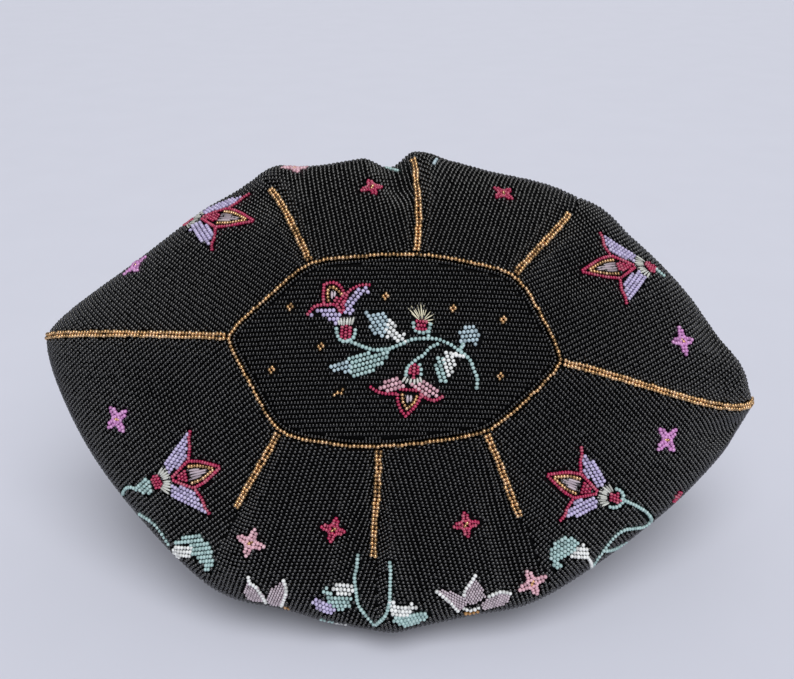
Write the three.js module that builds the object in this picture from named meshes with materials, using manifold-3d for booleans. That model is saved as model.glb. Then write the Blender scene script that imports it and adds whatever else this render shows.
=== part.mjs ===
// Beaded purse lying on its belly: an oval beaded base faces the viewer, eight gores spread
// from it to a pointed, pillowy outline, and the pouch narrows behind to a closed metal frame.
// Millimetres, +Z up, the base toward -Y, +X to the viewer's right, resting on z = 0.

import * as THREE from "three";
import Module from "manifold-3d";

const wasm = await Module();
wasm.setup();

// Driving sizes

const size = {
  wall: 1.9, // cloth with its layer of seed beads
  gap: 0.3, // clearance between neighbouring pieces
  bead: 1.25, // diameter of a gold bead
  baseDome: 2.0, // how far the middle of the base stands proud of its rim
  seamBand: 2.5, // width of a double row of gold beads
  bandRise: 1.1, // thickness of a double row
  dartSeat: 0.2, // how far a dart's row lies below the beads beside it
  sideSeat: 0.5, // the same for a side seam's row
  sideGap: 2.2, // from a side seam to the edge of each panel
  restBlend: 3.0, // height over which the belly rounds into the floor
};

// Where the base sits: its centre, how far it is tipped back and its slant across
const base = {
  centre: new THREE.Vector3(-0.7, -26.3, 77.3),
  tipDeg: 33,
  slantDeg: 4,
};

// The closed mouth, behind the pouch and just above the floor
const mouth = {
  halfWidth: 78,
  neckY: 41.7, // where the lips turn straight back
  lipY: 48.7, // edge of the lips, inside the frame
  height: 5.3, // of the line where the lips meet
  halfLips: 3.0, // from that line to the outside of a lip
  upperSettle: 28, // length of the straight run-in, upper panel
  lowerSettle: 30, // and lower panel
};

// The walls splay as if drawn from this point in front of the base (across, up, behind)
const splayFrom = new THREE.Vector3(2, -24, -240);

// The front wall's curve: how it leaves the rim, as shares of its own size, and how long it
// runs straight back before the ridge
const wallCurve = { lead: 0.5, rise: 0.3, arrive: 9 };

// How smoothly the loop rounds the two side corners: 0 is a point and 1 is fully round
const corner = 0.6;

// The panels part at the side seams: over this many rows, and growing from ridge to here
const parting = { rows: 1 / 8, full: 1.5 };

// One row for each seam and each gore's middle, clockwise from the left side seam.
// rim: on the base's edge; ridge: on the widest loop (across, up the base, behind the base);
// reach: how far the wall runs on behind the ridge; sway: sideways bow of the seam, in rows
const meridians = [
  { name: "left", rim: [-44, 0.5], ridge: [-106, 0.5, 36], reach: 24, sway: 0.03 },
  { name: "upper_left", rim: [-35, 11.5], ridge: [-77.5, 25.5, 28], reach: 30, sway: 0 },
  { name: "top_left_seam", rim: [-24, 21.5], ridge: [-46.5, 51.5, 27], reach: 34, sway: 0.12 },
  { name: "top_left", rim: [-10.5, 24.5], ridge: [-25, 57, 26], reach: 34, sway: 0 },
  { name: "top_seam", rim: [4, 26], ridge: [0, 61.5, 25], reach: 34, sway: 0.1 },
  { name: "top_right", rim: [17.5, 25], ridge: [23.5, 58.5, 26], reach: 34, sway: 0 },
  { name: "top_right_seam", rim: [30, 22], ridge: [51.5, 52.5, 28], reach: 34, sway: 0.04 },
  { name: "upper_right", rim: [38, 12], ridge: [83, 28, 28], reach: 30, sway: 0 },
  { name: "right", rim: [43.5, 0], ridge: [108, -4, 36], reach: 24, sway: 0.2 },
  { name: "lower_right", rim: [35, -11], ridge: [86, -33, 27], reach: 30, sway: 0 },
  { name: "bottom_right_seam", rim: [25, -19.5], ridge: [48, -62, 18], reach: 30, sway: 0 },
  { name: "bottom_right", rim: [12, -23], ridge: [25, -69.5, 15.5], reach: 30, sway: 0 },
  { name: "bottom_seam", rim: [-2.5, -25.5], ridge: [0, -75, 15], reach: 30, sway: 0 },
  { name: "bottom_left", rim: [-16, -25.5], ridge: [-24, -71.5, 15.5], reach: 30, sway: 0 },
  { name: "bottom_left_seam", rim: [-28.5, -23], ridge: [-49, -65.5, 18], reach: 30, sway: 0 },
  { name: "lower_left", rim: [-37, -12], ridge: [-86, -33.5, 27.5], reach: 30, sway: 0 },
];
const turn = meridians.length;
const half = turn / 2;

// Folds of the filled cloth: at is the place around (in rows), wide its half width (in rows),
// rise its height (minus for a valley), from and to its run outward (0 rim, 1 ridge, 2 neck)
const folds = [
  { name: "valley left of the top seam", at: 3.74, wide: 0.3, rise: -3.6, from: 0.25, to: 1.5 },
  { name: "ridge of the top seam", at: 4.16, wide: 0.34, rise: 1.0, from: 0.15, to: 1.4 },
  { name: "ridge by the top left seam", at: 2.3, wide: 0.3, rise: 1.0, from: 0.2, to: 1.3 },
  { name: "valley by the top left seam", at: 1.82, wide: 0.3, rise: -1.2, from: 0.3, to: 1.2 },
  { name: "ridge by the top right seam", at: 6.22, wide: 0.3, rise: 1.3, from: 0.45, to: 1.3 },
  { name: "hollow by the upper right rim", at: 6.5, wide: 0.4, rise: -1.3, from: 0.02, to: 0.5 },
  { name: "pucker above the right corner", at: 7.62, wide: 0.24, rise: 1.3, from: 0.62, to: 1.15 },
  { name: "dip above the right corner", at: 7.36, wide: 0.24, rise: -1.2, from: 0.6, to: 1.1 },
  { name: "valley below the right corner", at: 8.34, wide: 0.26, rise: -1.8, from: 0.5, to: 1.15 },
  { name: "ridge from the right rim", at: 8.8, wide: 0.4, rise: 1.0, from: 0.05, to: 0.6 },
  { name: "ridge by the bottom right seam", at: 9.74, wide: 0.3, rise: 1.5, from: 0.1, to: 1.0 },
  { name: "valley by the bottom right seam", at: 10.24, wide: 0.32, rise: -1.6, from: 0.05, to: 0.9 },
  { name: "ridge of the bottom seam", at: 11.78, wide: 0.3, rise: 1.8, from: 0.1, to: 1.1 },
  { name: "valley left of the bottom seam", at: 12.28, wide: 0.32, rise: -2.4, from: 0.08, to: 1.1 },
  { name: "ridge by the bottom left seam", at: 13.7, wide: 0.34, rise: 1.5, from: 0.1, to: 0.9 },
  { name: "valley by the bottom left seam", at: 14.2, wide: 0.32, rise: -1.6, from: 0.1, to: 0.9 },
  { name: "hollow by the lower left rim", at: 15.25, wide: 0.45, rise: -1.4, from: 0.02, to: 0.45 },
];

const foldRamp = 0.3; // run over which a fold rises and dies away

// The shallow trough that each dart's gold row lies in, and the gathers behind
const trough = { depth: 1.2, halfWidth: 1 / 6, fade: 0.12 };
const gather = { upper: 2.8, lower: 1.3, from: 1.15, full: 1.55, ease: 1.68, to: 1.97, sideRows: 0.5 };

// The eight gold rows: the side seams run on to the frame, the darts end part-way
const seams = [
  { name: "seam_line_left", row: 0, end: 1.93 },
  { name: "seam_line_top_left", row: 2, end: 0.62 },
  { name: "seam_line_top", row: 4, end: 0.78 },
  { name: "seam_line_top_right", row: 6, end: 0.58 },
  { name: "seam_line_right", row: 8, end: 1.93 },
  { name: "seam_line_bottom_right", row: 10, end: 0.36 },
  { name: "seam_line_bottom", row: 12, end: 0.42 },
  { name: "seam_line_bottom_left", row: 14, end: 0.36 },
];
const isSide = (row) => row % half === 0;
const isDart = (row) => row % 2 === 0 && !isSide(row);

// How finely the pieces are faceted
const facets = {
  perRow: 6, // columns of a panel in each row of the table
  front: [0.12, 0.28, 0.45, 0.62, 0.78, 0.9, 1],
  back: [1.09, 1.18, 1.28, 1.38, 1.49, 1.6, 1.7, 1.79, 1.87, 1.94, 2],
  least: 0.02, // shortest step along a seam
  baseRings: [0, 0.3, 0.6, 0.85, 1],
  basePerRow: 3,
};
const LIP = 2.1; // end of the outward run, at the edge of the lips
const STEP = 1e-3; // for slopes

// Directions of the base: across, up and behind
const tip = THREE.MathUtils.degToRad(base.tipDeg);
const slant = THREE.MathUtils.degToRad(base.slantDeg);
const level = new THREE.Vector3(1, 0, 0);
const rising = new THREE.Vector3(0, Math.sin(tip), Math.cos(tip));
const behind = new THREE.Vector3(0, Math.cos(tip), -Math.sin(tip));
const across = level.clone().multiplyScalar(Math.cos(slant)).addScaledVector(rising, -Math.sin(slant));
const up = rising.clone().multiplyScalar(Math.cos(slant)).addScaledVector(level, Math.sin(slant));

const place = (u, v, w) =>
  base.centre.clone().addScaledVector(across, u).addScaledVector(up, v).addScaledVector(behind, w);
const clamp = THREE.MathUtils.clamp;
const smooth = (x, from, to) => THREE.MathUtils.smoothstep(x, from, to);

const wrap = (t) => THREE.MathUtils.euclideanModulo(t, turn);

// A value of the table's rows, carried smoothly round the loop
function around(value, t) {
  const i = Math.floor(t);
  const f = t - i;
  const [a, b, c, d] = [-1, 0, 1, 2].map((k) => value(meridians[wrap(i + k)]));
  const leave = ((c - a) / 2) * (isSide(i) ? corner : 1);
  const enter = ((d - b) / 2) * (isSide(i + 1) ? corner : 1);
  return b + f * (leave + f * (3 * (c - b) - 2 * leave - enter + f * (2 * (b - c) + leave + enter)));
}

// Rows from a side seam: 0 at the seam, positive on the upper panel, negative on the lower
function sideOf(t) {
  const near = half / 2 - Math.abs((wrap(t) % half) - half / 2);
  return wrap(t) < half ? near : -near;
}

const bezier = (p, x) => new THREE.CubicBezierCurve3(...p).getPoint(x);

// The pouch without its folds: t runs round the rows, s outward from rim over ridge to lip
function form(t, s) {
  const rim = new THREE.Vector3(around((m) => m.rim[0], t), around((m) => m.rim[1], t), 0);
  const ridge = new THREE.Vector3(...[0, 1, 2].map((k) => around((m) => m.ridge[k], t)));
  const splay = ridge.clone().sub(splayFrom).normalize();
  if (s <= 1) {
    const lead = ridge.clone().sub(rim).multiplyScalar(wallCurve.lead).setZ(wallCurve.rise * ridge.z);
    const arrive = ridge.clone().addScaledVector(splay, -wallCurve.arrive);
    const q = bezier([rim, rim.clone().add(lead), arrive, ridge], s);
    return place(q.x, q.y, q.z);
  }
  const start = place(...ridge.toArray());
  const onward = place(...ridge.addScaledVector(splay, around((m) => m.reach, t)).toArray());
  const side = sideOf(t);
  const x = mouth.halfWidth * (1 - (2 * Math.abs(wrap(t) - half)) / half);
  const neck = new THREE.Vector3(x, mouth.neckY, mouth.height);
  const settle = THREE.MathUtils.lerp(mouth.lowerSettle, mouth.upperSettle, smooth(side, -1, 1));
  const runIn = neck.clone().setY(mouth.neckY - settle);
  const p = s <= 2 ? bezier([start, onward, runIn, neck], s - 1) : neck;
  p.y += (mouth.lipY - mouth.neckY) * clamp((s - 2) / (LIP - 2), 0, 1);
  p.z += mouth.halfLips * clamp(side / parting.rows, -1, 1) * smooth(s, 1, parting.full);
  return p;
}

// Height of the folds, gathers and troughs over the plain form
function relief(t, s) {
  let h = 0;
  for (const fold of folds) {
    const x = (t - fold.at) / fold.wide;
    if (Math.abs(x) >= 1) continue;
    const run = Math.min(foldRamp, (fold.to - fold.from) / 2);
    const window = smooth(s, fold.from, fold.from + run) * (1 - smooth(s, fold.to - run, fold.to));
    h += fold.rise * (1 - x * x) ** 2 * window;
  }
  for (const seam of seams) {
    const x = Math.abs(t - seam.row) / trough.halfWidth;
    if (isDart(seam.row) && x < 1)
      h -= trough.depth * (1 - x) * (1 - smooth(s, seam.end, seam.end + trough.fade));
  }
  const deep = sideOf(t) >= 0 ? gather.upper : gather.lower;
  const edge = clamp(Math.abs(sideOf(t)) / gather.sideRows, 0, 1);
  const swell = smooth(s, gather.from, gather.full) * (1 - smooth(s, gather.ease, gather.to));
  return h - deep * edge * swell * Math.cos(2 * Math.PI * t);
}

function slopeNormal(surface, t, s) {
  const s0 = Math.max(s - STEP, 0);
  const s1 = Math.min(s + STEP, LIP);
  const alongT = surface(t + STEP, s).sub(surface(t - STEP, s));
  const alongS = surface(t, s1).sub(surface(t, s0));
  return alongT.cross(alongS).normalize();
}

// The belly rounds into the floor and lies flat on it
function seated(z) {
  const h = size.restBlend;
  if (z >= h) return z;
  return z <= -h ? 0 : (z + h) ** 2 / (4 * h);
}

// The outside of the pouch
function outside(t, s) {
  const swayed = t + around((m) => m.sway, t) * 4 * clamp(s, 0, 1) * (1 - clamp(s, 0, 1));
  const p = form(swayed, s).addScaledVector(slopeNormal(form, swayed, s), relief(t, s));
  return p.setZ(seated(p.z));
}

// How far along its run the wall is a length away from the rim
const runFor = (t, length) => (length * 2 * STEP) / outside(t, 2 * STEP).distanceTo(outside(t, 0));

const outward = (t, s) => slopeNormal(outside, t, s);
const inside = (t, s) => outside(t, s).addScaledVector(outward(t, s), -size.wall);

// A closed solid through equal loops of points; each loop folds flat for its end cap
function skin(loops, ring = false) {
  const n = loops[0].length;
  const points = loops.flat();
  const faces = [];
  const quad = (a, b, c, d) => faces.push([a, b, c], [a, c, d]);
  const last = ring ? loops.length : loops.length - 1;
  for (let i = 0; i < last; i++) {
    const here = i * n;
    const next = ((i + 1) % loops.length) * n;
    for (let j = 0; j < n; j++) {
      const k = (j + 1) % n;
      quad(here + j, next + j, next + k, here + k);
    }
  }
  const end = (loops.length - 1) * n;
  for (let j = 0; !ring && j < n / 2 - 1; j++) {
    quad(j, j + 1, n - 2 - j, n - 1 - j);
    quad(end + n - 1 - j, end + n - 2 - j, end + j + 1, end + j);
  }
  const flat = ([a, b, c]) =>
    points[a].distanceTo(points[b]) < STEP ||
    points[b].distanceTo(points[c]) < STEP ||
    points[c].distanceTo(points[a]) < STEP;
  const index = faces.filter((face) => !flat(face)).flat();
  return new THREE.BufferGeometry().setFromPoints(points).setIndex(index);
}

// From the middle of the gold outline to the edges on both sides of it
const rimGap = size.bead / 2 + size.gap;

// Half of the pouch, between the side seams at rows from and to
function panel(from, to) {
  const columns = (to - from) * facets.perRow;
  const rows = [...facets.front, ...facets.back, LIP];
  const loops = [];
  for (let i = 0; i <= columns; i++) {
    const t = from + i / facets.perRow;
    const inward = i === 0 ? 1 : i === columns ? -1 : 0;
    const at = (s) => {
      const speed = outside(t + STEP, s).distanceTo(outside(t - STEP, s)) / (2 * STEP);
      return t + (inward * size.sideGap) / speed;
    };
    const stations = [runFor(t, rimGap), ...rows];
    const out = stations.map((s) => outside(at(s), s));
    const back = stations.map((s) => inside(at(s), s)).reverse();
    loops.push([...out, ...back]);
  }
  return skin(loops);
}

// The oval base, domed a little, with its edge short of the gold outline
function basePanel() {
  const loops = [];
  for (let i = 0; i < turn * facets.basePerRow; i++) {
    const t = i / facets.basePerRow;
    const u = around((m) => m.rim[0], t);
    const v = around((m) => m.rim[1], t);
    const share = 1 - rimGap / Math.hypot(u, v);
    const dome = (r) => -size.baseDome * (1 - r * r);
    const out = facets.baseRings.map((r) => place(u * r * share, v * r * share, dome(r)));
    const back = facets.baseRings.map((r) => place(u * r * share, v * r * share, dome(r) + size.wall));
    loops.push([...out, ...back.reverse()]);
  }
  return skin(loops, true);
}

// The gold bead row round the base, as the tube that its beads fill
function baseOutline() {
  const sides = 8;
  const loops = [];
  for (let i = 0; i < turn * facets.basePerRow; i++) {
    const t = i / facets.basePerRow;
    const at = (x) => place(around((m) => m.rim[0], x), around((m) => m.rim[1], x), 0);
    const along = at(t + STEP).sub(at(t - STEP)).normalize();
    const outwardSide = along.clone().cross(behind);
    const centre = at(t).addScaledVector(behind, size.bead / 4);
    loops.push(
      Array.from({ length: sides }, (_, k) => {
        const a = (2 * Math.PI * (k + 0.5)) / sides;
        return centre
          .clone()
          .addScaledVector(outwardSide, (size.bead / 2) * Math.cos(a))
          .addScaledVector(behind, (size.bead / 2) * Math.sin(a));
      }),
    );
  }
  return skin(loops, true);
}

// A double row of gold beads along a seam, as the low band that its beads fill
function seamBand({ row, end }) {
  const first = runFor(row, 2 * rimGap);
  const within = (s) => s > first + facets.least && s < end - facets.least;
  const rows = [...facets.front, ...facets.back].filter(within);
  const lift = isSide(row) ? -size.sideSeat : trough.depth - size.dartSeat;
  const [w, h] = [size.seamBand / 2, size.bandRise];
  const bevel = h / 3; // rounds the band as its beads do
  const section = [
    [-w, bevel],
    [-w, h - bevel],
    [-w + bevel, h],
    [w - bevel, h],
    [w, h - bevel],
    [w, bevel],
    [w - bevel, 0],
    [-w + bevel, 0],
  ];
  const loops = [first, ...rows, end].map((s) => {
    const out = outward(row, s);
    const ahead = outside(row, Math.min(s + STEP, LIP)).sub(outside(row, s - STEP)).normalize();
    const sideways = out.clone().cross(ahead).normalize();
    return section.map(([x, y]) =>
      outside(row, s).addScaledVector(sideways, x).addScaledVector(out, y + lift),
    );
  });
  return skin(loops);
}

// Solids joined and cut by code
function solid(geometry) {
  const g = geometry.index ? geometry.toNonIndexed() : geometry;
  const corners = new Map();
  const vertices = [];
  const triVerts = [];
  const p = g.getAttribute("position");
  for (let i = 0; i < p.count; i++) {
    const corner = [p.getX(i), p.getY(i), p.getZ(i)].map((x) => Math.round(x * 1e4) / 1e4);
    const key = corner.join(" ");
    if (!corners.has(key)) {
      corners.set(key, vertices.length / 3);
      vertices.push(...corner);
    }
    triVerts.push(corners.get(key));
  }
  const used = [];
  for (let i = 0; i < triVerts.length; i += 3) {
    const [a, b, c] = triVerts.slice(i, i + 3);
    if (a !== b && b !== c && c !== a) used.push(a, b, c);
  }
  return new wasm.Manifold(
    new wasm.Mesh({
      numProp: 3,
      vertProperties: new Float32Array(vertices),
      triVerts: new Uint32Array(used),
    }),
  );
}

function geometryOf(manifold) {
  const m = manifold.getMesh();
  const vertices = new Float32Array(m.numVert * 3);
  for (let i = 0; i < m.numVert; i++)
    vertices.set(m.vertProperties.subarray(i * m.numProp, i * m.numProp + 3), i * 3);
  return new THREE.BufferGeometry()
    .setAttribute("position", new THREE.BufferAttribute(vertices, 3))
    .setIndex(new THREE.BufferAttribute(m.triVerts, 1));
}

// The closed frame that holds the lips: a round-ended bar with a slot and two clasp balls
const frame = {
  cheek: 2.0, // metal above and below the lips
  back: 3.0, // metal behind them
  overhang: 3.5, // past each end of the mouth
  bite: 6.0, // how far the lips go in
  bevel: 1.2,
  ball: 7, // diameter of a clasp ball
  ballApart: 6.4,
  ballProud: 0.38, // share of a ball's diameter from the bar to its centre
};

function mouthFrame() {
  const slotHeight = 2 * (mouth.halfLips + size.gap);
  const slotBack = mouth.lipY + size.gap;
  const front = mouth.lipY - frame.bite;
  const depth = slotBack + frame.back - front;
  const height = slotHeight + 2 * frame.cheek;
  const slotHalf = mouth.halfWidth + size.gap;
  const straight = slotHalf + frame.overhang - depth / 2;
  const plan = new THREE.Shape();
  plan.absarc(straight, 0, depth / 2, -Math.PI / 2, Math.PI / 2);
  plan.absarc(-straight, 0, depth / 2, Math.PI / 2, (3 * Math.PI) / 2);
  const { bevel } = frame;
  const bar = new THREE.ExtrudeGeometry(plan, {
    depth: height - 2 * bevel,
    bevelSize: bevel,
    bevelOffset: -bevel,
    bevelThickness: bevel,
    bevelSegments: 2,
    curveSegments: 8,
  }).translate(0, front + depth / 2, mouth.height - height / 2 + bevel);
  const slotDepth = 2 * (slotBack - front);
  const slot = new THREE.BoxGeometry(2 * slotHalf, slotDepth, slotHeight);
  slot.translate(0, slotBack - slotDepth / 2, mouth.height);
  let body = solid(bar).subtract(solid(slot));
  for (const side of [-1, 1]) {
    const ball = new THREE.SphereGeometry(frame.ball / 2, 16, 10);
    const y = slotBack + frame.back + frame.ballProud * frame.ball;
    ball.translate((side * frame.ballApart) / 2, y, mouth.height);
    body = body.add(solid(ball));
  }
  return geometryOf(body);
}

const beaded = new THREE.MeshStandardMaterial({ color: 0x141416, roughness: 0.35 });
const gilt = new THREE.MeshStandardMaterial({ color: 0xb9833e, roughness: 0.3, metalness: 0.9 });
const brass = new THREE.MeshStandardMaterial({ color: 0xa98b4f, roughness: 0.4, metalness: 1 });

const purse = new THREE.Group();
function add(name, geometry, material) {
  const mesh = new THREE.Mesh(geometry, material);
  mesh.name = name;
  purse.add(mesh);
}

add("base_panel", basePanel(), beaded);
add("upper_panel", panel(0, half), beaded);
add("lower_panel", panel(half, turn), beaded);
add("base_outline", baseOutline(), gilt);
for (const seam of seams) add(seam.name, seamBand(seam), gilt);
add("mouth_frame", mouthFrame(), brass);

export default purse;
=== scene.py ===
"""Dresses the solids of a beaded purse: knitted cloth, rows of glass seed beads, worked flowers,
gilt bead lines on the seams and a gilt mouth frame, on a plain stage."""

import functools
import math
from typing import NamedTuple

import bpy
import numpy as np
from mathutils.kdtree import KDTree
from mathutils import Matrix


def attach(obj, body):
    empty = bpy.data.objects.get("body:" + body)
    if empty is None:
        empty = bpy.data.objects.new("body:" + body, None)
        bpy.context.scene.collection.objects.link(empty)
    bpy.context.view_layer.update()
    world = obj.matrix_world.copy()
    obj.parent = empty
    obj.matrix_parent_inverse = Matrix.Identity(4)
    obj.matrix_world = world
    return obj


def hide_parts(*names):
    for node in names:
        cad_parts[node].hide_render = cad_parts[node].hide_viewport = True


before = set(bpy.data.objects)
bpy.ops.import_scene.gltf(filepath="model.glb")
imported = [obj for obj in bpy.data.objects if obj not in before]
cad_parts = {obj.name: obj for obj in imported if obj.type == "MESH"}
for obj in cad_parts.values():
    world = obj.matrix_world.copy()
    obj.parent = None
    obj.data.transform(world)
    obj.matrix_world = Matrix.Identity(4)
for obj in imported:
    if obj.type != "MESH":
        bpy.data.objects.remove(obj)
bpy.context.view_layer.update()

bl_info = {
    "name": "Beaded purse",
    "version": (1, 0, 0),
    "blender": (4, 5, 0),
    "location": "View3D > Sidebar > Purse",
    "description": "Makes the cloth, seed beads, gilt lines and stage of a beaded purse",
    "category": "Object",
}

BODY = "root"
MM = 0.001  # the purse's form is worked out in millimetres, and Blender is in metres
SEED = 11

# The purse's form, as its solids have it

WALL = 1.9  # cloth with its layer of beads
BASE_CENTRE = np.array([-0.7, -26.3, 77.3])
BASE_TIP, BASE_SLANT = math.radians(33), math.radians(4)
BASE_DOME = 2.0
SPLAY_FROM = np.array([2.0, -24.0, -240.0])  # the walls splay as if drawn from this point
WALL_LEAD, WALL_RISE, WALL_ARRIVE = 0.5, 0.3, 9.0  # how the front wall leaves the rim and meets the ridge
MOUTH_HALF, NECK_Y, LIP_Y, MOUTH_Z, HALF_LIPS = 78.0, 41.7, 48.7, 5.3, 3.0
UPPER_SETTLE, LOWER_SETTLE = 28.0, 30.0  # how long each panel runs level into the neck
PARTING_ROWS, PARTING_FULL = 1 / 8, 1.5  # where the panels part, beside the seams and along the run
REST_BLEND = 3.0  # height over which the cloth settles on the floor
LIP = 2.1  # where the run ends
CORNER = 0.6  # how smoothly the loop rounds the two side corners
STEP = 1e-3  # for measuring slopes

# Seams and gore middles, clockwise from the left side seam:
# rim across and up, ridge across, up and behind, reach behind the ridge, sideways sway.
# Across and up were laid back from points of the photo and rounded, and the rest is estimated.
MERIDIANS = np.array(
    [
        (-44, 0.5, -106, 0.5, 36, 24, 0.03),
        (-35, 11.5, -77.5, 25.5, 28, 30, 0),
        (-24, 21.5, -46.5, 51.5, 27, 34, 0.12),
        (-10.5, 24.5, -25, 57, 26, 34, 0),
        (4, 26, 0, 61.5, 25, 34, 0.1),
        (17.5, 25, 23.5, 58.5, 26, 34, 0),
        (30, 22, 51.5, 52.5, 28, 34, 0.04),
        (38, 12, 83, 28, 28, 30, 0),
        (43.5, 0, 108, -4, 36, 24, 0.2),
        (35, -11, 86, -33, 27, 30, 0),
        (25, -19.5, 48, -62, 18, 30, 0),
        (12, -23, 25, -69.5, 15.5, 30, 0),
        (-2.5, -25.5, 0, -75, 15, 30, 0),
        (-16, -25.5, -24, -71.5, 15.5, 30, 0),
        (-28.5, -23, -49, -65.5, 18, 30, 0),
        (-37, -12, -86, -33.5, 27.5, 30, 0),
    ]
)
RIM, RIDGE, REACH, SWAY = slice(0, 2), slice(2, 5), slice(5, 6), 6  # columns of the table
TURN = len(MERIDIANS)
HALF = TURN // 2

# Folds of the filled cloth: place around, half width (both in rows), rise, start and end of its run
FOLDS = (
    (3.74, 0.3, -3.6, 0.25, 1.5),
    (4.16, 0.34, 1.0, 0.15, 1.4),
    (2.3, 0.3, 1.0, 0.2, 1.3),
    (1.82, 0.3, -1.2, 0.3, 1.2),
    (6.22, 0.3, 1.3, 0.45, 1.3),
    (6.5, 0.4, -1.3, 0.02, 0.5),
    (7.62, 0.24, 1.3, 0.62, 1.15),
    (7.36, 0.24, -1.2, 0.6, 1.1),
    (8.34, 0.26, -1.8, 0.5, 1.15),
    (8.8, 0.4, 1.0, 0.05, 0.6),
    (9.74, 0.3, 1.5, 0.1, 1.0),
    (10.24, 0.32, -1.6, 0.05, 0.9),
    (11.78, 0.3, 1.8, 0.1, 1.1),
    (12.28, 0.32, -2.4, 0.08, 1.1),
    (13.7, 0.34, 1.5, 0.1, 0.9),
    (14.2, 0.32, -1.6, 0.1, 0.9),
    (15.25, 0.45, -1.4, 0.02, 0.45),
)
FOLD_RAMP = 0.3
TROUGH_DEPTH, TROUGH_HALF, TROUGH_FADE = 1.2, 1 / 6, 0.12
GATHER_UPPER, GATHER_LOWER, GATHER_SIDE_ROWS = 2.8, 1.3, 0.5
GATHER_FROM, GATHER_FULL, GATHER_EASE, GATHER_TO = 1.15, 1.55, 1.68, 1.97

# The gold rows: node, row of the table and where the row ends
SEAMS = (
    ("seam_line_left", 0, 1.93),
    ("seam_line_top_left", 2, 0.62),
    ("seam_line_top", 4, 0.78),
    ("seam_line_top_right", 6, 0.58),
    ("seam_line_right", 8, 1.93),
    ("seam_line_bottom_right", 10, 0.36),
    ("seam_line_bottom", 12, 0.42),
    ("seam_line_bottom_left", 14, 0.36),
)
SIDE_SEAT, DART_SEAT, BAND_RISE = 0.5, 0.2, 1.1

# How far each gore's rows lean clockwise from its middle line, in degrees, and how many times as far
# apart as on the base its beads are, near the rim and at the ridge
LEANS = {1: 13, 3: 6.5, 5: 6, 7: -11, 9: 13.5, 11: -6, 13: 7.5, 15: -14}
STRETCHED = {1: (1.0, 2.0), 3: (1.2, 2.4), 5: (1.15, 2.4), 7: (1.1, 1.9), 9: (1.05, 1.3),
             11: (0.97, 1.3), 13: (1.05, 1.35), 15: (1.12, 1.4)}
STRETCH_GROWS, STRETCH_ENDS = (0.1, 1.0), (1.1, 1.4)  # runs over which the stretch grows and ends
BLACK_SHARE, GOLD_SHARE = 0.75, 0.5  # of that stretch, in a black bead's length and in the gold rows
LEAN_FROM, LEAN_TO = 0.45, 1.2  # runs where a leaning row is at its own place, and where it leans no more
ROWS_END = 1.97  # run where the black rows end
BASE_ARCH = 0.0006  # bow of the base's rows
BASE_ROWS_HALF, BASE_BEADS_HALF = 30, 48  # how far the base's level rows are laid up and across
BASE_SHARE, RIM_ROOM = 0.97, 0.68  # share of the base that is covered, and room beside its rim row, in rows
ROW_JITTER = 0.05  # along a row, as a share of the pitch
THREAD_STEP = 0.004  # run on each side of a bead that gives its thread's direction
GOLD_START, GOLD_ASIDE = 0.65, 0.43  # how far a gold row lies from the rim and from its seam, in beads
GOLD_ROOM = 0.75  # between a gold bead's middle and the black ones', in gold beads
GOLD_UNEVEN, BLACK_UNEVEN = 0.1, 0.05  # how far beads stray to the side of a row
FINE_TO = 1.04  # run where the beads become plainer, behind what the camera sees

RISING = np.array([0, math.sin(BASE_TIP), math.cos(BASE_TIP)])
BEHIND = np.array([0, math.cos(BASE_TIP), -math.sin(BASE_TIP)])
LEVEL = np.array([1.0, 0, 0])
ACROSS = LEVEL * math.cos(BASE_SLANT) - RISING * math.sin(BASE_SLANT)
UP = RISING * math.cos(BASE_SLANT) + LEVEL * math.sin(BASE_SLANT)


def linear(hex_colour):
    """An sRGB hex colour as linear red, green and blue."""
    parts = [int(hex_colour[i : i + 2], 16) / 255 for i in (1, 3, 5)]
    return tuple(x / 12.92 if x <= 0.04045 else ((x + 0.055) / 1.055) ** 2.4 for x in parts)


def smooth(x, start, end):
    x = np.clip((x - start) / (end - start), 0, 1)
    return x * x * (3 - 2 * x)


def unit(v):
    return v / np.linalg.norm(v, axis=-1, keepdims=True)


def place(q):
    """Points given across, up and behind the base, in the purse's frame."""
    return BASE_CENTRE + q[..., 0:1] * ACROSS + q[..., 1:2] * UP + q[..., 2:3] * BEHIND


def around(t):
    """The table's columns carried smoothly round the loop."""
    i = np.floor(t).astype(int)
    f = (t - i)[..., None]
    a, b, c, d = (MERIDIANS[(i + k) % TURN] for k in (-1, 0, 1, 2))
    leave = (c - a) / 2 * np.where(i % HALF, 1, CORNER)[..., None]
    enter = (d - b) / 2 * np.where((i + 1) % HALF, 1, CORNER)[..., None]
    return b + f * (leave + f * (3 * (c - b) - 2 * leave - enter + f * (2 * (b - c) + leave + enter)))


def side_of(t):
    """Rows from the nearest side seam, positive on the upper panel and negative on the lower."""
    near = HALF / 2 - np.abs(t % TURN % HALF - HALF / 2)
    return np.where(t % TURN < HALF, near, -near)


def bezier(points, x):
    a, b, c, d = points
    y = 1 - x
    return a * y**3 + 3 * b * x * y**2 + 3 * c * x**2 * y + d * x**3


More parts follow.
